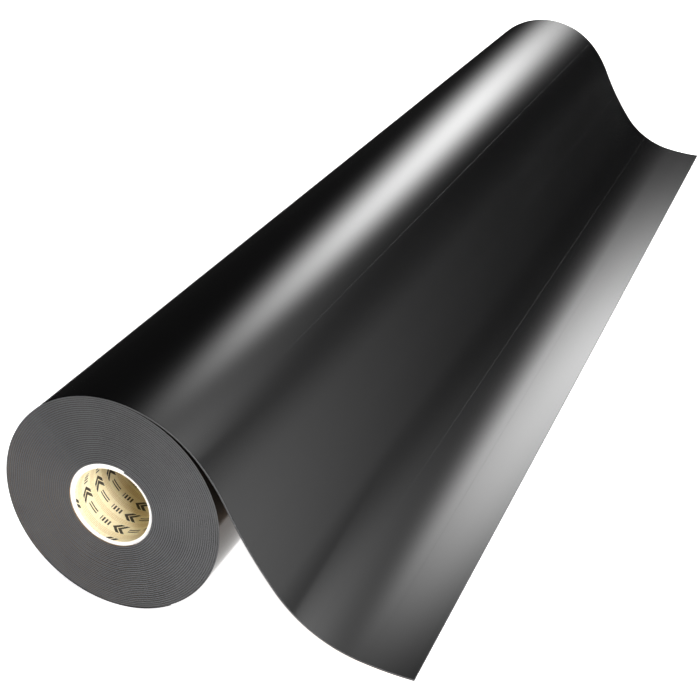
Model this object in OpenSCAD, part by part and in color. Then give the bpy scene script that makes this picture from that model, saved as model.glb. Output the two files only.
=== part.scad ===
// Roll of self-adhesive sign vinyl on a board core, lying on the floor with its free end drawn out.
// Y runs along the roll, X towards the free end and Z up. The origin is on the core's axis at
// mid-length. Angles in the section are counted from the top, towards +X.

/* [Core] */
// Diameter of the bore, for a 3 inch spindle
bore_d = 76.2; // [75:0.1:77]
// Thickness of the printed ply that lines the bore
print_ply_t = 0.4; // [0.3:0.1:0.5]
// Thickness of the wound board wall
board_t = 2.4; // [2:0.1:2.6]
// Least thickness of the paper wrap round the board
wrap_t = 0.5; // [0.45:0.05:0.6]
// Thickness of the double-sided tape under the web's start
tape_t = 0.15; // [0.1:0.05:0.2]
// Angle that the tape covers
tape_a = 16.5; // [15:0.5:18]
// How far each end of the core sits inside the roll's end face
core_inset = 1.5; // [0:0.1:3]

/* [Web] */
// Width of the web, which is the length of the roll
web_w = 1524; // [600:1:1600]
// Thickness of the vinyl film with its adhesive
film_t = 1.2; // [1:0.05:1.25]
// Thickness of the release liner under the film
liner_t = 0.6; // [0.5:0.05:0.65]
// Turns from the web's start to the outer turn
turns = 33; // [32:1:33]
// Radius of the wound roll inside its outer turn
pack_r = 108.5; // [108:0.1:109]
// Angle at which the web starts on the core
start_a = 23; // [15:1:40]

/* [Free end] */
// Radius of the stretch that still follows the roll, from the top of the outer turn
follow_r = 117.5; // [117:0.5:118]
// Angle of that stretch
follow_a = 51.1; // [50:0.1:52]
// Radius of the stretch that falls away from the roll
fall_r = 178; // [175:1:180]
// Angle of that stretch
fall_a = 14.7; // [14:0.1:15]
// Radius of the stretch that starts to bend back
ease_r = 450; // [445:1:455]
// Angle of that stretch
ease_a = 11.6; // [11:0.1:12]
// Radius of the sweep that brings the sheet down to the floor
sweep_r = 130; // [129:1:131]
// Angle of that stretch
sweep_a = 42.5; // [42:0.1:43]
// Radius of the stretch that runs out along the floor
lead_r = 290; // [280:1:300]
// Angle of that stretch
lead_a = 10.2; // [9.5:0.1:10.5]
// Length of film at the lead edge that peels off the liner
tab_l = 42; // [30:1:44]
// Space under that film, which its liner lies clear of
tab_gap = 0.3; // [0.25:0.05:0.4]

/* [Clearances] */
// Space between layers that lie on each other in one body
skin_gap = 0.04; // [0.02:0.01:0.05]
// Space between the turning roll and its outer turn
slip_gap = 0.3; // [0.25:0.05:0.4]
// Half of the space at each bend line across the sheet
bend_gap = 0.9; // [0.8:0.1:1.2]
// Half of the space at the line where the film peels up
peel_gap = 0.2; // [0.2:0.1:0.5]

/* [Hidden] */

// $fn of every round face
round_fn = 180;
// Reaches past every arc of the section
far = 1000;
// Core radii, from the bore outwards
bore_r = bore_d / 2;
board_r0 = bore_r + print_ply_t + skin_gap;
board_r1 = board_r0 + board_t;
wrap_r0 = board_r1 + skin_gap;
core_l = web_w - 2 * core_inset;
// Heights of the film above the web's underside
film_h0 = liner_t + skin_gap;
web_t = film_h0 + film_t;
// Radius of the web's underside on its first half turn, and on its outer turn
first_r = wrap_r0 + wrap_t + skin_gap;
slip_r = pack_r + slip_gap;
outer_r = slip_r + skin_gap;
// Radial growth for each turn
pitch = (outer_r - first_r) / turns;
// Upper half turns are centred on the axis. Lower ones are centred this far from it, so that
// each half turn ends where the next one starts.
half_shift = -pitch / 2;
// Neighbouring arcs of one piece run this far into each other
lap = 0.05;
// Thinnest edge of a layer where the slip surface trims it
trim_t = 0.35;

// ---- the section, seen along the roll: x to the right and y up ----

// A point at radius r and angle a from the top
function clock(r, a) = [r * sin(a), r * cos(a)];

// The wedge from angle a0 round to a1, at most half a turn
module wedge(a0, a1) {
    polygon([[0, 0], clock(far, a0), clock(2 * far, (a0 + a1) / 2), clock(far, a1)]);
}

// The part of a ring between radii r0 and r1 and angles a0 and a1
module arc_band(r0, r1, a0, a1) {
    intersection() {
        difference() {
            circle(r1, $fn = round_fn);
            circle(r0, $fn = round_fn);
        }
        wedge(a0, a1);
    }
}

// Part of an upper half turn of a layer, k turns after the first
module upper_turn(k, h0, h1, a0 = -90, a1 = 90) {
    r = first_r + k * pitch;
    arc_band(r + h0, r + h1, a0, a1);
}

// Part of the lower half turn that follows upper half turn k
module lower_turn(k, h0, h1, a0 = 90, a1 = 270) {
    r = first_r + (k + 0.5) * pitch;
    translate([half_shift, 0]) arc_band(r + h0, r + h1, a0, a1);
}

// Angle in the last lower half turn where height h of the web reaches radius r
function crossing(h, r) = 180 - asin((outer_r + half_shift + h - r) / (pitch / 2));

// Extrudes a section along the roll
module along(length) {
    rotate([90, 0, 0])
        linear_extrude(length, center = true)
            children();
}

// ---- the free end: a chain of arcs, each starting where the last one ends ----

// Radius and signed angle of each arc. A positive angle bends down, a negative one up.
ARCS = [
    [follow_r, follow_a], [fall_r, fall_a], [ease_r, -ease_a],
    [sweep_r, -sweep_a], [lead_r, -lead_a]
];
// Slope of the sheet where arc i starts
function slope(i) = i == 0 ? 0 : slope(i - 1) + ARCS[i - 1][1];
// Where the underside of arc i starts, and the arc's centre
function arc_start(i) = i == 0 ? [0, outer_r] : arc_point(i - 1, ARCS[i - 1][1], 0);
function arc_centre(i) = arc_start(i) - sign(ARCS[i][1]) * clock(ARCS[i][0], slope(i));
// Point at height h above the underside of arc i, after turning through the signed angle t
function arc_point(i, t, h) =
    arc_centre(i) + clock(sign(ARCS[i][1]) * ARCS[i][0] + h, slope(i) + t);
// Signed angle that a length takes up on arc i
function arc_turn(i, length) = sign(ARCS[i][1]) * length / ARCS[i][0] * 180 / PI;

// A layer of arc i between heights h0 and h1, with its two ends cut back by lengths
module free_arc(i, h0, h1, cut0 = 0, cut1 = 0) {
    side = sign(ARCS[i][1]);
    flip = side > 0 ? 0 : 180;
    a0 = slope(i) + arc_turn(i, cut0) + flip;
    a1 = slope(i) + ARCS[i][1] - arc_turn(i, cut1) + flip;
    r0 = ARCS[i][0] + min(side * h0, side * h1);
    r1 = ARCS[i][0] + max(side * h0, side * h1);
    translate(arc_centre(i)) arc_band(r0, r1, min(a0, a1), max(a0, a1));
}

// ---- core ----

module core_print_ply() {
    color("#f6eccb") along(core_l) difference() {
        circle(bore_r + print_ply_t, $fn = round_fn);
        circle(bore_r, $fn = round_fn);
    }
}

module core_board() {
    color("#efe9dc") along(core_l) difference() {
        circle(board_r1, $fn = round_fn);
        circle(board_r0, $fn = round_fn);
    }
}

// Paper round the board, thick where it fills the step that the web's start leaves
module core_wrap() {
    color("#f7f5f0") along(core_l) difference() {
        union() {
            circle(first_r - skin_gap, $fn = round_fn);
            arc_band(0, first_r + pitch - skin_gap, -90, start_a);
            translate([half_shift, 0])
                arc_band(0, first_r - half_shift - skin_gap, 90, 270);
        }
        circle(wrap_r0, $fn = round_fn);
        tape_section(skin_gap);
    }
}

// Section of the tape with a margin g below it and at its sides
module tape_section(g) {
    top = first_r - skin_gap;
    arc_band(top - tape_t - g, top + g, start_a - g, start_a + tape_a + g);
}

// Holds the web's start on the core
module start_tape() {
    color("#d8c48a") along(core_l) tape_section(0);
}

// ---- wound roll and its outer turn ----

// A layer of the wound roll, from its start on the core to where the slip surface trims it away
module wound_layer(h0, h1) {
    along(web_w) {
        upper_turn(0, h0, h1, start_a, 90);
        for (k = [1 : turns - 1]) upper_turn(k, h0, h1);
        for (k = [0 : turns - 2]) lower_turn(k, h0, h1);
        intersection() {
            lower_turn(turns - 1, h0, h1, 90, crossing(h0, pack_r - trim_t));
            circle(pack_r, $fn = round_fn);
        }
    }
}

module wound_film() {
    color("#2b2b2d") wound_layer(film_h0, web_t);
}

module wound_liner() {
    color("#8c8a86") wound_layer(0, liner_t);
}

// A layer outside the slip surface, and the stretch after it that still follows the roll
module outer_layer(h0, h1) {
    along(web_w) {
        free_arc(0, h0, h1, 0, bend_gap);
        upper_turn(turns, h0, h1, -90, 0);
        difference() {
            lower_turn(turns - 1, h0, h1, crossing(h1, slip_r + trim_t), 270);
            circle(slip_r, $fn = round_fn);
        }
    }
}

module outer_turn_film() {
    color("#1c1c1e") outer_layer(film_h0, web_t);
}

module outer_turn_liner() {
    color("#8c8a86") outer_layer(0, liner_t);
}

// ---- free end ----

// The stretch that hangs away from the roll
module upper_layer(h0, h1) {
    along(web_w) {
        free_arc(1, h0, h1, bend_gap, -lap);
        free_arc(2, h0, h1, 0, bend_gap);
    }
}

// The sweep down to the floor
module middle_layer(h0, h1) {
    along(web_w) free_arc(3, h0, h1, bend_gap, bend_gap);
}

module sheet_upper_film() {
    color("#1c1c1e") upper_layer(film_h0, web_t);
}

module sheet_upper_liner() {
    color("#8c8a86") upper_layer(0, liner_t);
}

module sheet_middle_film() {
    color("#1c1c1e") middle_layer(film_h0, web_t);
}

module sheet_middle_liner() {
    color("#8c8a86") middle_layer(0, liner_t);
}

// Short strip of film between the last bend line and the tab
module sheet_lead_film() {
    color("#1c1c1e") along(web_w)
        free_arc(4, film_h0, web_t, bend_gap, tab_l + peel_gap);
}

module sheet_lead_liner() {
    color("#8c8a86") along(web_w) free_arc(4, 0, liner_t, bend_gap, 0);
}

// Film at the lead edge, which peels up off its liner
module film_tab() {
    lead_l = lead_r * lead_a * PI / 180;
    color("#222224") along(web_w)
        free_arc(4, liner_t + tab_gap, web_t, lead_l - tab_l + peel_gap, 0);
}

core_print_ply();
core_board();
core_wrap();
start_tape();
wound_film();
wound_liner();
outer_turn_film();
outer_turn_liner();
sheet_upper_film();
sheet_upper_liner();
sheet_middle_film();
sheet_middle_liner();
sheet_lead_film();
sheet_lead_liner();
film_tab();
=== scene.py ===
import math

import bpy
import numpy as np
from mathutils import Matrix, Vector


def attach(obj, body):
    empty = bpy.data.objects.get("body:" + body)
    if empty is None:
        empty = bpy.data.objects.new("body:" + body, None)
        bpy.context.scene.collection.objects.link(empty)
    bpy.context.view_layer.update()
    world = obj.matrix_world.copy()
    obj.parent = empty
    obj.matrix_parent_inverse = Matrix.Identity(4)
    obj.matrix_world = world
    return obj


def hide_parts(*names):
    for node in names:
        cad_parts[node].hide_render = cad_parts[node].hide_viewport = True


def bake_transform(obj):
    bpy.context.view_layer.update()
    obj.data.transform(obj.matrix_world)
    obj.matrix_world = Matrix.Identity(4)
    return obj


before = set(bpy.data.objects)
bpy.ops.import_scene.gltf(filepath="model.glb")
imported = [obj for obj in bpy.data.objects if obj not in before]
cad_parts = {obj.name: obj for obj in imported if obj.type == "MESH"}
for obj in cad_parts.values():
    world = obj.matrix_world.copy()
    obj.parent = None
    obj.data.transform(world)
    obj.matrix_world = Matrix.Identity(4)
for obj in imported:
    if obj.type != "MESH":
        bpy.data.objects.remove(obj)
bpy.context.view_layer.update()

MM = 0.001

# ---- sizes of the section, in mm, in the CAD frame ----

BORE_R = 38.1
PRINT_PLY_R = 38.5
BOARD_R0, BOARD_R1 = 38.54, 40.94
WRAP_R0 = 40.98
FIRST_R = 41.52
TAPE_R0, TAPE_R1 = 41.33, 41.48
START_A, TAPE_A = 23.0, 16.5
SKIN_GAP = 0.04
LINER_T = 0.6
FILM_H0 = 0.64
WEB_T = 1.84
OUTER_R = 108.84
SLIP_R = 108.8
PACK_R = 108.5
TRIM_T = 0.35
TURNS = 33
PITCH = (OUTER_R - FIRST_R) / TURNS
HALF_SHIFT = -PITCH / 2
WEB_W = 1524.0
CORE_L = 1521.0
FLOOR_Z = -109.66

# Radius and signed angle of each arc of the free end
ARCS = [(117.5, 51.1), (178.0, 14.7), (450.0, -11.6), (130.0, -42.5), (290.0, -10.2)]
TAB_L = 42.0

# ---- build values ----

RIM = 0.14            # chamfer along the slit edges
HOLD = 0.35           # width of the strip beside a chamfer that takes its shading
TELESCOPE = 0.28      # furthest that a turn sits inside the end face
CORE_FACES = 240
RING_STEP = 1.5       # degrees between stations of the wound turns
SHEET_STEP = 1.5      # mm between stations of the free end
SEAM_STEP = 0.08      # mm from a seam to its next station


def clock(r, a):
    """A point of the section at radius r and angle a from the top, clockwise, as (x, z)."""
    return np.array([r * math.sin(math.radians(a)), r * math.cos(math.radians(a))])


# ---- the line that the web's underside follows ----

def arc_chain():
    """Start, centre, radius, side, slope and length of each arc of the free end."""
    slope, start, out = 0.0, clock(OUTER_R, 0), []
    for radius, angle in ARCS:
        side = 1 if angle > 0 else -1
        centre = start - side * clock(radius, slope)
        out.append((centre, radius, side, slope, radius * math.radians(abs(angle))))
        slope += angle
        start = centre + side * clock(radius, slope)
    return out


CHAIN = arc_chain()
FREE_L = sum(arc[4] for arc in CHAIN)
FOLDS = [CHAIN[0][4], sum(arc[4] for arc in CHAIN[:3]), sum(arc[4] for arc in CHAIN[:4])]
TAB_S = FREE_L - TAB_L


def free_point(s, h):
    """Point and outward normal at length s past the top of the roll and height h above the underside."""
    for centre, radius, side, slope, length in CHAIN:
        if s <= length + 1e-9 or (centre is CHAIN[-1][0]):
            a = slope + side * math.degrees(s / radius)
            return centre + clock(side * radius + h, a), clock(1, a)
        s -= length


def turn_point(a, h):
    """Point at total winding angle a, counted from the top of the first turn, and height h."""
    k = math.floor((a + 90) / 360)
    local = a - 360 * k
    if local <= 90:
        return clock(FIRST_R + k * PITCH + h, local)
    return np.array([HALF_SHIFT, 0]) + clock(FIRST_R + (k + 0.5) * PITCH + h, local)


def crossing(h, r):
    """Local angle at which height h of the last lower half turn reaches radius r."""
    return 180 - math.degrees(math.asin((OUTER_R + HALF_SHIFT + h - r) / (PITCH / 2)))


def limit_radius(p, low=None, high=None):
    """Moves p along its radius so that it's no nearer than low and no further than high."""
    r = math.hypot(*p)
    if low is not None and r < low:
        return p * (low / r)
    if high is not None and r > high:
        return p * (high / r)
    return p


def steps(lo, hi, step, fine=None):
    """Even stations from lo to hi, with one more close to each end where fine is given."""
    out = list(np.linspace(lo, hi, max(2, int(round((hi - lo) / step)) + 1)))
    if fine:
        out = [out[0], lo + fine] + out[1:-1] + [hi - fine, out[-1]]
    return out


# ---- meshes ----

def make_mesh(name, verts, faces, flat, slots, face_slots):
    """A mesh object from points in mm. flat lists which faces are flat shaded."""
    mesh = bpy.data.meshes.new(name)
    mesh.from_pydata([tuple(v) for v in np.asarray(verts) * MM], [], faces)
    for m in slots:
        mesh.materials.append(m)
    mesh.polygons.foreach_set("use_smooth", [not f for f in flat])
    mesh.polygons.foreach_set("material_index", face_slots)
    mesh.update()
    obj = bpy.data.objects.new(name, mesh)
    bpy.context.scene.collection.objects.link(obj)
    return obj


def ribbon(name, line, half, top, edge, under=None, inset=None, rim=RIM):
    """A layer of the web. line lists (inner point, outer point) of its section in (x, z).

    top, edge and under are the materials of the outer face, the slit edges and the inner face.
    inset gives how far each station's two slit edges sit inside the full width.
    """
    under = under or top
    n, ring = len(line), 12
    verts, faces, flat, mats = [], [], [], []
    for i, (inner, outer) in enumerate(line):
        t = float(np.linalg.norm(outer - inner))
        c = min(rim, 0.3 * t)
        low = inner + (outer - inner) * (c / t)
        high = outer - (outer - inner) * (c / t)
        d0, d1 = inset(i) if inset else (0.0, 0.0)
        y0, y1 = -half + d0 + c, half - d1 - c
        ys = [y0, y0 + HOLD, y1 - HOLD, y1]
        loop = [(outer, y) for y in ys]
        loop += [(high, half - d1), (low, half - d1)]
        loop += [(inner, y) for y in reversed(ys)]
        loop += [(low, -half + d0), (high, -half + d0)]
        verts += [(p[0], y, p[1]) for p, y in loop]
    kinds = ["top"] * 3 + ["rim"] * 3 + ["under"] * 3 + ["rim"] * 3
    for i in range(n - 1):
        a, b = i * ring, (i + 1) * ring
        for j, kind in enumerate(kinds):
            k = (j + 1) % ring
            faces.append((a + j, b + j, b + k, a + k))
            flat.append(kind == "rim")
            mats.append({"top": 0, "rim": 1, "under": 2}[kind])
    faces.append(tuple(range(ring)))
    faces.append(tuple((n - 1) * ring + j for j in reversed(range(ring))))
    flat += [True, True]
    mats += [1, 1]
    return make_mesh(name, verts, faces, flat, [top, edge, under], mats)


def closed_ring(name, line, half, inside, outside, edge, rim=0.1):
    """A tube from a closed list of (inner point, outer point). It has its own material per side."""
    n = len(line)
    verts, faces, flat, mats = [], [], [], []
    for inner, outer in line:
        t = float(np.linalg.norm(outer - inner))
        c = min(rim, 0.3 * t)
        step = (outer - inner) * (c / t)
        ys = [-half + c, -half + c + HOLD, half - c - HOLD, half - c]
        loop = [(outer, y) for y in ys] + [(outer - step, half), (inner + step, half)]
        loop += [(inner, y) for y in reversed(ys)] + [(inner + step, -half), (outer - step, -half)]
        verts += [(p[0], y, p[1]) for p, y in loop]
    kinds = [1] * 3 + [2] * 3 + [0] * 3 + [2] * 3
    ring = len(kinds)
    for i in range(n):
        a, b = i * ring, ((i + 1) % n) * ring
        for j, kind in enumerate(kinds):
            k = (j + 1) % ring
            faces.append((a + j, b + j, b + k, a + k))
            flat.append(kind == 2)
            mats.append(kind)
    return make_mesh(name, verts, faces, flat, [inside, outside, edge], mats)


# ---- materials ----

class Nodes:
    """Short calls that build a material's node tree."""

    def __init__(self, name):
        self.mat = bpy.data.materials.new(name)
        self.mat.use_nodes = True
        self.tree = self.mat.node_tree
        self.bsdf = self.tree.nodes["Principled BSDF"]

    def add(self, kind, inputs=None, **settings):
        node = self.tree.nodes.new("ShaderNode" + kind)
        for key, value in settings.items():
            setattr(node, key, value)
        for key, value in (inputs or {}).items():
            self.put(node.inputs[key], value)
        return node

    def put(self, socket, value):
        if isinstance(value, bpy.types.NodeSocket):
            self.tree.links.new(value, socket)
        else:
            socket.default_value = value

    def math(self, op, a, b=0.0):
        node = self.add("Math", operation=op)
        for socket, value in zip(node.inputs, (a, b)):
            self.put(socket, value)
        return node.outputs[0]

    def span(self, value, lo, hi, to_lo=0.0, to_hi=1.0):
        node = self.add("MapRange", clamp=True)
        for key, x in zip(("Value", "From Min", "From Max", "To Min", "To Max"),
                          (value, lo, hi, to_lo, to_hi)):
            self.put(node.inputs[key], x)
        return node.outputs["Result"]

    def mix(self, factor, a, b):
        node = self.add("Mix", data_type="RGBA")
        self.put(node.inputs[0], factor)
        self.put(node.inputs[6], a)
        self.put(node.inputs[7], b)
        return node.outputs[2]

    def position(self, scale=(1, 1, 1)):
        coord = self.add("TexCoord")
        mapping = self.add("Mapping", {"Vector": coord.outputs["Object"], "Scale": scale})
        return mapping.outputs[0]

    def noise(self, scale, detail=3.0, rough=0.5, stretch=(1, 1, 1), vector=None):
        node = self.add("TexNoise", {"Vector": vector or self.position(stretch),
                                     "Scale": scale, "Detail": detail, "Roughness": rough})
        return node.outputs["Fac"]

    def bump(self, height, distance, strength=1.0, after=None):
        node = self.add("Bump", {"Height": height, "Distance": distance, "Strength": strength})
        if after:
            self.put(node.inputs["Normal"], after)
        return node.outputs[0]

    def finish(self, **inputs):
        for key, value in inputs.items():
            self.put(self.bsdf.inputs[key.replace("_", " ")], value)
        return self.mat


def rgb(r, g, b):
    return (r, g, b, 1.0)


def gloss_vinyl(name, base=0.0045, rough=0.13):
    """Calendered vinyl: deep black, with a soft sheen, faint orange peel and a few drawn-out marks."""
    m = Nodes(name)
    peel = m.noise(420.0, 2.0)
    swell = m.noise(9.0, 2.0, stretch=(1, 0.35, 1))
    drag = m.noise(60.0, 4.0, stretch=(1, 0.04, 1))
    dust = m.span(m.noise(900.0, 2.0), 0.74, 0.82)
    roughness = m.math("ADD", m.span(swell, 0.3, 0.7, rough - 0.02, rough + 0.02),
                       m.span(drag, 0.55, 0.8, 0.0, 0.03))
    colour = m.mix(m.math("MULTIPLY", dust, 0.35), rgb(base, base, base * 1.05),
                   rgb(0.03, 0.03, 0.03))
    normal = m.bump(peel, 0.000012, 0.35)
    normal = m.bump(swell, 0.0006, 0.10, after=normal)
    return m.finish(Base_Color=colour, Roughness=roughness, Normal=normal, IOR=1.5)


def slit_edge(name, dark, light, rough=0.5):
    """The knife-cut edge of a layer: fine streaks across it and a mottled tone."""
    m = Nodes(name)
    streak = m.noise(1500.0, 3.0, stretch=(1, 0.2, 1))
    cloud = m.noise(28.0, 3.0)
    tone = m.math("ADD", m.math("MULTIPLY", streak, 0.5), m.math("MULTIPLY", cloud, 0.5))
    colour = m.mix(m.span(tone, 0.35, 0.65), dark, light)
    return m.finish(Base_Color=colour, Roughness=m.span(cloud, 0.3, 0.7, rough - 0.06, rough + 0.06),
                    Normal=m.bump(streak, 0.00004, 0.5), IOR=1.45)


def paper(name, dark, light, rough=0.75, fibre=700.0):
    """Paper with fibres drawn along the roll and a slight mottle."""
    m = Nodes(name)
    fibres = m.noise(fibre, 4.0, 0.6, stretch=(1, 0.25, 1))
    mottle = m.noise(45.0, 3.0)
    tone = m.math("ADD", m.math("MULTIPLY", fibres, 0.6), m.math("MULTIPLY", mottle, 0.4))
    colour = m.mix(m.span(tone, 0.3, 0.7), dark, light)
    return m.finish(Base_Color=colour, Roughness=m.span(mottle, 0.3, 0.7, rough - 0.08, rough + 0.08),
                    Normal=m.bump(fibres, 0.00005, 0.6))


def board_edge(name, dark, light, rings=0.0006):
    """The cut end of wound board: its plies show as faint rings."""
    m = Nodes(name)
    coord = m.add("TexCoord").outputs["Object"]
    split = m.add("SeparateXYZ", {"Vector": coord})
    radius = m.math("SQRT", m.math("ADD", m.math("POWER", split.outputs[0], 2.0),
                                   m.math("POWER", split.outputs[2], 2.0)))
    ply = m.math("FRACT", m.math("DIVIDE", radius, rings))
    line = m.span(m.math("ABSOLUTE", m.math("SUBTRACT", ply, 0.5)), 0.3, 0.5)
    fuzz = m.noise(2200.0, 3.0)
    mark = m.math("MULTIPLY", line, m.span(fuzz, 0.3, 0.7, 0.2, 0.8))
    return m.finish(Base_Color=m.mix(mark, light, dark), Roughness=m.span(fuzz, 0.3, 0.7, 0.75, 0.9),
                    Normal=m.bump(fuzz, 0.00006, 0.6))


# Sizes of the print and of the thin tan lines on the core's inner ply, in metres
PRINT_REPEATS = 5             # times that a row's marks repeat round the bore
PRINT_ROW = 0.0206            # from one row to the next, along the bore
ARROW_STARTS = (0.0005, 0.0057)
ARROW_HALF_STROKE = 0.0019
ARROW_HALF_HEIGHT = 0.0062
BAR_START, BAR_PITCH, BAR_W = 0.0095, 0.0032, 0.0017
BARS_MIDDLE, BARS_HALF = 0.0062, 0.0058
BAR_HALF_HEIGHT = 0.0030
DASH_MIDDLE, DASH_HALF = -0.0150, 0.0060
DASH_HALF_HEIGHT, DASH_HALF_GAP = 0.0022, 0.0008
HAIRLINES = ((0.0009, 0.00030), (0.0026, 0.00025))   # distance from the row's edge, half width
PAST_ZERO = 1.0               # added before a modulo, so that it never sees a negative number


def printed_ply(name):
    """Cream paper with rows of plain unwind arrows and bars printed on it, and thin tan lines beside
    each row.
    """
    m = Nodes(name)
    split = m.add("SeparateXYZ", {"Vector": m.add("TexCoord").outputs["Object"]})
    angle = m.math("ARCTAN2", split.outputs[0], split.outputs[2])
    around = m.math("ADD", m.math("MULTIPLY", angle, BORE_R * MM), PAST_ZERO)
    along = m.math("ADD", split.outputs[1], PAST_ZERO)
    repeat = 2 * math.pi * BORE_R * MM / PRINT_REPEATS
    u = m.math("SUBTRACT", m.math("MODULO", around, repeat), repeat / 2)
    v = m.math("SUBTRACT", m.math("MODULO", along, PRINT_ROW), PRINT_ROW / 2)
    wobble = m.span(m.noise(1400.0, 2.0), 0.3, 0.7, -0.00012, 0.00012)
    height = m.math("ADD", m.math("ABSOLUTE", v), wobble)

    def within(value, half):
        return m.math("LESS_THAN", value, half)

    def near(value, middle, half):
        return within(m.math("ABSOLUTE", m.math("SUBTRACT", value, middle)), half)

    def both(a, b):
        return m.math("MULTIPLY", a, b)

    def either(a, b):
        return m.math("MAXIMUM", a, b)

    # Two chevrons that point round the bore
    slant = m.math("ADD", u, height)
    first, second = (near(slant, start, ARROW_HALF_STROKE) for start in ARROW_STARTS)
    arrows = both(either(first, second), within(height, ARROW_HALF_HEIGHT))
    # A group of short bars on one side and a long split dash on the other
    bar_u = m.math("SUBTRACT", u, BAR_START)
    stripe = within(m.math("MODULO", m.math("ADD", bar_u, PAST_ZERO), BAR_PITCH), BAR_W)
    bars = both(stripe, both(near(bar_u, BARS_MIDDLE, BARS_HALF), within(height, BAR_HALF_HEIGHT)))
    dash = both(near(u, DASH_MIDDLE, DASH_HALF),
                both(within(height, DASH_HALF_HEIGHT), m.math("GREATER_THAN", height, DASH_HALF_GAP)))
    patchy = m.span(m.noise(2600.0, 3.0), 0.25, 0.5, 0.75, 1.0)
    ink = both(either(arrows, either(bars, dash)), patchy)
    # A pair of hairlines on each side of every row
    from_edge = m.math("SUBTRACT", PRINT_ROW / 2, height)
    hair = either(*(near(from_edge, middle, half) for middle, half in HAIRLINES))
    fibres = m.noise(900.0, 4.0, 0.6, stretch=(1, 0.3, 1))
    cream = m.mix(m.span(fibres, 0.3, 0.7), rgb(0.88, 0.76, 0.48), rgb(0.96, 0.89, 0.66))
    base = m.mix(both(hair, 0.8), cream, rgb(0.60, 0.40, 0.16))
    base = m.mix(ink, base, rgb(0.02, 0.017, 0.015))
    return m.finish(Base_Color=base, Roughness=m.span(fibres, 0.3, 0.7, 0.55, 0.75),
                    Normal=m.bump(fibres, 0.00005, 0.6))


def plain_floor(name):
    """A pale floor, lit from below as a light table is, so that it keeps almost no shadow."""
    m = Nodes(name)
    return m.finish(Base_Color=rgb(0.93, 0.93, 0.93), Roughness=0.9,
                    Emission_Color=rgb(1, 1, 1), Emission_Strength=0.95,
                    Normal=m.bump(m.noise(40.0, 2.0), 0.0002, 0.1))


MAT = {
    "film": gloss_vinyl("gloss_vinyl"),
    "film_edge": slit_edge("film_slit_edge", rgb(0.085, 0.085, 0.088), rgb(0.125, 0.125, 0.128)),
    "adhesive": slit_edge("adhesive_side", rgb(0.05, 0.05, 0.052), rgb(0.08, 0.08, 0.084), 0.32),
    "liner": paper("release_liner", rgb(0.09, 0.09, 0.09), rgb(0.14, 0.14, 0.14), 0.45),
    "liner_back": paper("liner_back", rgb(0.24, 0.14, 0.065), rgb(0.34, 0.21, 0.10), 0.6),
    "liner_edge": slit_edge("liner_slit_edge", rgb(0.055, 0.055, 0.057), rgb(0.085, 0.085, 0.088), 0.7),
    "ply": printed_ply("printed_ply"),
    "ply_edge": board_edge("printed_ply_end", rgb(0.5, 0.36, 0.2), rgb(0.9, 0.84, 0.7)),
    "board": paper("core_board", rgb(0.62, 0.55, 0.44), rgb(0.74, 0.68, 0.58)),
    "board_edge": board_edge("core_board_end", rgb(0.80, 0.76, 0.68), rgb(0.93, 0.92, 0.89)),
    "wrap": paper("core_wrap", rgb(0.30, 0.17, 0.07), rgb(0.42, 0.26, 0.12)),
    "wrap_edge": board_edge("core_wrap_end", rgb(0.72, 0.66, 0.56), rgb(0.95, 0.94, 0.92), 0.0004),
    "tape": paper("start_tape", rgb(0.45, 0.33, 0.16), rgb(0.6, 0.46, 0.24), 0.6),
}


# ---- core ----

def tube_line(r0, r1):
    angles = np.linspace(0, 360, CORE_FACES, endpoint=False)
    return [(clock(r0, a), clock(r1, a)) for a in angles]


def wrap_line():
    """The wrap's section: thin past the web's start, and thick where it fills the step."""
    def outer(a):
        if a < 90:
            return clock(FIRST_R - SKIN_GAP, a)
        if a < 270:
            return np.array([HALF_SHIFT, 0]) + clock(FIRST_R - HALF_SHIFT - SKIN_GAP, a)
        return clock(FIRST_R + PITCH - SKIN_GAP, a)

    tape_end = START_A + TAPE_A + SKIN_GAP
    angles = [START_A, START_A + 0.05] + steps(START_A + 0.3, tape_end, 1.5)
    out = [(clock(WRAP_R0, a), clock(TAPE_R0 - SKIN_GAP, a)) for a in angles]
    rest = steps(tape_end + 0.02, START_A + 360 - 0.06, 1.5)
    return out + [(clock(WRAP_R0, a), outer(a)) for a in rest]


def build_core():
    half = CORE_L / 2
    ply = closed_ring("core_print_ply_v", tube_line(BORE_R, PRINT_PLY_R), half,
                      MAT["ply"], MAT["board"], MAT["ply_edge"])
    board = closed_ring("core_board_v", tube_line(BOARD_R0, BOARD_R1), half,
                        MAT["board"], MAT["board"], MAT["board_edge"])
    wrap = closed_ring("core_wrap_v", wrap_line(), half,
                       MAT["wrap"], MAT["wrap"], MAT["wrap_edge"])
    tape_angles = steps(START_A, START_A + TAPE_A, 1.0)
    tape = ribbon("start_tape_v", [(clock(TAPE_R0, a), clock(TAPE_R1, a)) for a in tape_angles],
                  half, MAT["tape"], MAT["tape"], rim=0.03)
    for obj, node, slot in ((ply, "core_print_ply", "printed_ply"), (board, "core_board", "core_board"),
                            (wrap, "core_wrap", "core_wrap"), (tape, "start_tape", "start_tape")):
        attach(obj, "roll")
        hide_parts(node)
    return [ply, board, wrap]


# ---- wound roll and outer turn ----

def telescope(seed):
    """How far the stations of a wound layer sit inside the two end faces."""
    rng = np.random.default_rng(seed)
    waves = [(rng.uniform(0.1, 0.9), rng.uniform(0, 6.28), rng.uniform(0, 6.28)) for _ in range(6)]
    per_turn = 360 / RING_STEP

    def inset(i):
        turn = i / per_turn
        near = sum(math.sin(2 * math.pi * f * turn + p) for f, p, _ in waves) / 6
        far = sum(math.sin(2 * math.pi * f * turn + p) for f, _, p in waves) / 6
        return TELESCOPE * (0.5 + 0.5 * near), TELESCOPE * (0.5 + 0.5 * far)
    return inset


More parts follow.
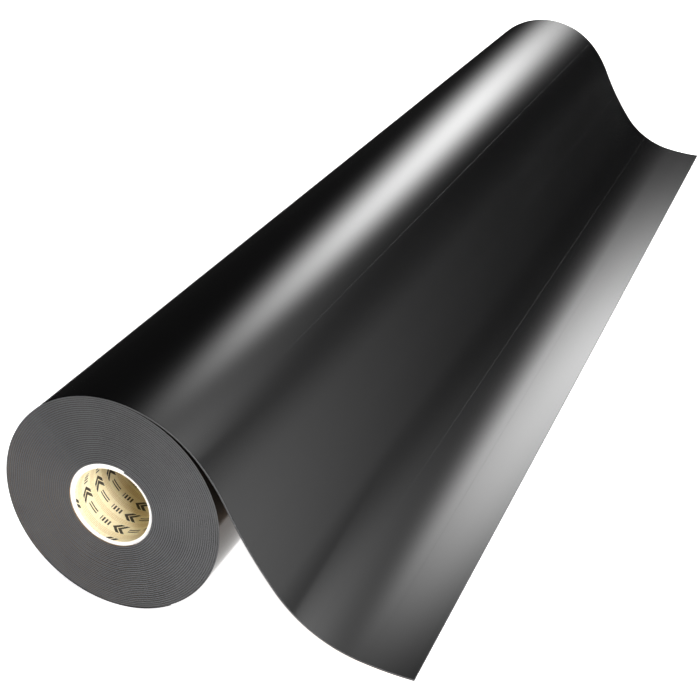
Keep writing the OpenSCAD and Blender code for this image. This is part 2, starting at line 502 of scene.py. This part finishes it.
def wound_line(h0, h1):
    last = 360 * (TURNS - 1) + crossing(h0, PACK_R - TRIM_T)
    return [(turn_point(a, h0), limit_radius(turn_point(a, h1), high=PACK_R))
            if a > 360 * (TURNS - 1) + 90 else (turn_point(a, h0), turn_point(a, h1))
            for a in steps(START_A, last, RING_STEP)]


def build_wound():
    half = WEB_W / 2
    film = ribbon("wound_film_v", wound_line(FILM_H0, WEB_T), half,
                  MAT["film"], MAT["film_edge"], MAT["adhesive"], telescope(3))
    liner = ribbon("wound_liner_v", wound_line(0, LINER_T), half,
                   MAT["liner"], MAT["liner_edge"], MAT["liner_back"], telescope(3))
    for obj, node in ((film, "wound_film"), (liner, "wound_liner")):
        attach(obj, "roll")
        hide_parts(node)


def outer_line(h0, h1, end_s):
    """The outer turn from the slip surface to the top, and the free end up to length end_s."""
    first = 360 * (TURNS - 1) + crossing(h1, SLIP_R + TRIM_T)
    ring = [(limit_radius(turn_point(a, h0), low=SLIP_R), turn_point(a, h1))
            for a in steps(first, 360 * TURNS, RING_STEP)]
    return ring[:-1] + free_line(h0, h1, 0, end_s)


def free_line(h0, h1, s0, s1):
    stations = steps(s0, s1, SHEET_STEP, SEAM_STEP)
    return [(free_point(s, h0)[0], free_point(s, h1)[0]) for s in stations]


def web_at(s, h):
    """The point of the row frame, in metres, at length s and height h of the web."""
    p = free_point(s, h)[0] * MM
    return (p[0], 0.0, p[1])


# Lengths past the top of the roll, in mm: where two pieces meet, and a stretch around each
# of the four hinges
SEAMS = [FOLDS[0] - 14, FOLDS[0] + 90, FOLDS[1] + 48, FOLDS[2] + 5]
ZONES = [(FOLDS[0] - 14, FOLDS[0] + 14), (FOLDS[1] - 15, FOLDS[1] + 15),
         (FOLDS[2] - 30, FOLDS[2] + 4.5), (TAB_S - 0.5, TAB_S + 7)]


def build_web():
    half = WEB_W / 2
    for layer, h0, h1, top, edge, under, slot in (
            ("film", FILM_H0, WEB_T, "film", "film_edge", "adhesive", "vinyl_film"),
            ("liner", 0, LINER_T, "liner", "liner_edge", "liner_back", "release_liner")):
        mats = (MAT[top], MAT[edge], MAT[under])
        ring = ribbon("outer_turn_" + layer + "_v", outer_line(h0, h1, SEAMS[0]), half, *mats)
        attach(ring, "outer_turn")
        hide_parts("outer_turn_" + layer)
        stretches = ["sheet_upper_", "sheet_middle_", "sheet_lead_"]
        ends = SEAMS + [FREE_L] if layer == "film" else SEAMS[:3] + [FREE_L]
        for i in range(len(ends) - 1):
            s0, s1 = ends[i], ends[i + 1]
            node = stretches[i] + layer if i < 3 else "film_tab"
            piece = ribbon(node + "_v", free_line(h0, h1, s0, s1), half, *mats)
            z0, z1 = ZONES[i]
            web_at(z0, WEB_T / 2)
            web_at(z1, WEB_T / 2)
            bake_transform(piece)
            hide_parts(node)


# ---- surroundings, in metres ----

STAGE_HALF = 9.0              # from the roll to each wall of the backdrop
STAGE_TOP = 12.0
MIRRORED_X = (-0.4, 0.45)     # the strip of floor that the vinyl mirrors
AIM = (0.06, 0.0, 0.05)       # the point that every light faces


def surround(name, points, faces, material):
    """A plain mesh object that belongs to the studio and not to the roll."""
    mesh = bpy.data.meshes.new(name)
    mesh.from_pydata(points, [], faces)
    mesh.materials.append(material)
    obj = bpy.data.objects.new(name, mesh)
    bpy.context.scene.collection.objects.link(obj)
    return obj


def build_floor():
    """A pale floor in three strips. The vinyl mirrors only the strip under the roll."""
    mat = plain_floor("floor")
    z, y = FLOOR_Z * MM, STAGE_HALF
    x0, x1 = MIRRORED_X
    for name, left, right in (("floor_left", -STAGE_HALF, x0), ("floor_middle", x0, x1),
                              ("floor_right", x1, STAGE_HALF)):
        corners = [(left, -y, z), (right, -y, z), (right, y, z), (left, y, z)]
        floor = surround(name, corners, [(0, 1, 2, 3)], mat)
        floor.visible_glossy = name == "floor_middle"


def build_backdrop():
    """A plain white surround, seen directly but with no part in the lighting."""
    m = Nodes("backdrop")
    m.finish(Base_Color=rgb(0, 0, 0), Emission_Color=rgb(1, 1, 1), Emission_Strength=1.0)
    h = STAGE_HALF
    points = [(x, y, z) for z in (FLOOR_Z * MM, STAGE_TOP)
              for x, y in ((-h, -h), (h, -h), (h, h), (-h, h))]
    walls = [(i, (i + 1) % 4, (i + 1) % 4 + 4, i + 4) for i in range(4)]
    obj = surround("backdrop", points, walls + [(4, 5, 6, 7)], m.mat)
    obj.visible_glossy = False
    obj.visible_diffuse = False
    obj.visible_shadow = False


def toward(azimuth, elevation, distance):
    """A point seen from the roll. The azimuth runs from +X towards +Y."""
    a, e = math.radians(azimuth), math.radians(elevation)
    return (AIM[0] + distance * math.cos(e) * math.cos(a),
            AIM[1] + distance * math.cos(e) * math.sin(a),
            AIM[2] + distance * math.sin(e))


def lamp(name, size, watts, place):
    """A rectangular soft light that isn't mirrored in the vinyl. It shines straight down."""
    data = bpy.data.lights.new(name, "AREA")
    data.shape = "RECTANGLE"
    data.size, data.size_y = size
    data.energy = watts
    obj = bpy.data.objects.new(name, data)
    obj.location = place
    obj.visible_glossy = False
    bpy.context.scene.collection.objects.link(obj)
    return obj


def panel(name, azimuth, elevation, distance, size, watts):
    """A lamp that faces the roll."""
    obj = lamp(name, size, watts, toward(azimuth, elevation, distance))
    direction = Vector(AIM) - obj.location
    obj.rotation_euler = direction.to_track_quat("-Z", "Y").to_euler()
    return obj


def glow(name, spots):
    """Emission that is a sum of soft spots on a card, over a clear ground that hides nothing behind."""
    m = Nodes(name)
    split = m.add("SeparateXYZ", {"Vector": m.add("TexCoord").outputs["Object"]})
    total = None
    for strength, u0, v0, spread_u, spread_v, turn in spots:
        u = m.math("SUBTRACT", split.outputs[0], u0)
        v = m.math("SUBTRACT", split.outputs[1], v0)
        c, s = math.cos(math.radians(turn)), math.sin(math.radians(turn))
        across = m.math("ADD", m.math("MULTIPLY", u, c), m.math("MULTIPLY", v, s))
        along = m.math("SUBTRACT", m.math("MULTIPLY", v, c), m.math("MULTIPLY", u, s))
        q = m.math("ADD", m.math("POWER", m.math("ABSOLUTE", m.math("DIVIDE", across, spread_u)), 2.0),
                   m.math("POWER", m.math("ABSOLUTE", m.math("DIVIDE", along, spread_v)), 2.0))
        spot = m.math("MULTIPLY", m.math("EXPONENT", m.math("MULTIPLY", q, -0.5)), strength)
        total = m.math("ADD", total, spot) if total else spot
    m.tree.nodes.remove(m.bsdf)
    emission = m.add("Emission", {"Strength": total, "Color": rgb(1, 1, 1)})
    both = m.add("AddShader", {0: emission.outputs[0], 1: m.add("BsdfTransparent").outputs[0]})
    m.tree.links.new(both.outputs[0], m.tree.nodes["Material Output"].inputs["Surface"])
    return m.mat


def card(name, azimuth, elevation, distance, u_range, v_range, spots):
    """A large soft reflector that faces the roll, with soft bright spots on it."""
    a, e = math.radians(azimuth), math.radians(elevation)
    n = Vector((math.cos(e) * math.cos(a), math.cos(e) * math.sin(a), math.sin(e)))
    u = Vector((-math.sin(a), math.cos(a), 0))
    v = n.cross(u)
    centre = Vector(toward(azimuth, elevation, distance))
    corners = [(x, y, 0) for x, y in ((u_range[0], v_range[0]), (u_range[1], v_range[0]),
                                      (u_range[1], v_range[1]), (u_range[0], v_range[1]))]
    obj = surround(name, corners, [(3, 2, 1, 0)], glow(name + "_glow", spots))
    obj.matrix_world = Matrix([[u[i], v[i], n[i], centre[i]] for i in range(3)] + [[0, 0, 0, 1]])
    obj.visible_camera = False


# The soft spots on each card: strength, centre across and up the card and spread each way in
# metres, and turn in degrees
KEY_SPOTS = [(3.2, 0.04, -0.25, 0.27, 0.21, 131), (6.1, -0.09, 0.28, 0.27, 0.37, 26)]
SIDE_SPOTS = [(14.0, -6.6, 2.75, 1.56, 4.7, 39)]
TOP_SPOTS = [(14.0, -6.0, 0.23, 2.54, 2.08, 0)]


def build_cards():
    """The reflectors that the vinyl mirrors."""
    card("key_card", 93, 28, 2.0, (-1.3, 1.3), (-1.1, 1.5), KEY_SPOTS)
    card("side_card", 40, 30, 6.0, (-0.3, 12.0), (-6.5, 5.0), SIDE_SPOTS)
    card("top_card", 80, 62, 6.0, (-4.4, 5.0), (-8.0, -0.8), TOP_SPOTS)


def build_lamps(core_parts):
    """Soft light from above and from in front, and a fill that reaches only the core."""
    overhead = lamp("overhead", (2.6, 4.6), 12, (-0.5, 0.6, 2.0))
    overhead.data.spread = math.radians(80)
    panel("front", -57, 4, 1.7, (0.6, 0.4), 8.5)
    fill = panel("bore_fill", -58, 24, 2.2, (0.4, 0.4), 26)
    core = bpy.data.collections.new("core_parts")
    for obj in core_parts:
        core.objects.link(obj)
    fill.light_linking.receiver_collection = core


def build_world():
    world = bpy.data.worlds.new("studio")
    world.use_nodes = True
    sky = world.node_tree.nodes["Background"]
    sky.inputs["Color"].default_value = rgb(1, 1, 1)
    sky.inputs["Strength"].default_value = 0.015
    bpy.context.scene.world = world


# ---- camera ----

CAMERA_PLACE = (0.5863, -1.642, 0.6732)
CAMERA_RIGHT = (0.9283, 0.3718, -0.0031)
CAMERA_UP = (-0.1635, 0.4156, 0.8947)
LENS, SENSOR = 70.13, 36.0


def build_camera():
    data = bpy.data.cameras.new("camera")
    data.sensor_width = SENSOR
    data.lens = LENS
    data.clip_end = 50.0
    cam = bpy.data.objects.new("camera", data)
    right = Vector(CAMERA_RIGHT).normalized()
    back = right.cross(Vector(CAMERA_UP)).normalized()
    up = back.cross(right)
    cam.matrix_world = Matrix([[right[i], up[i], back[i], CAMERA_PLACE[i]] for i in range(3)]
                              + [[0, 0, 0, 1]])
    bpy.context.scene.collection.objects.link(cam)
    bpy.context.scene.camera = cam


core_parts = build_core()
build_wound()
build_web()
build_floor()
build_backdrop()
build_cards()
build_lamps(core_parts)
build_world()
build_camera()
bpy.context.scene.view_settings.view_transform = "Standard"
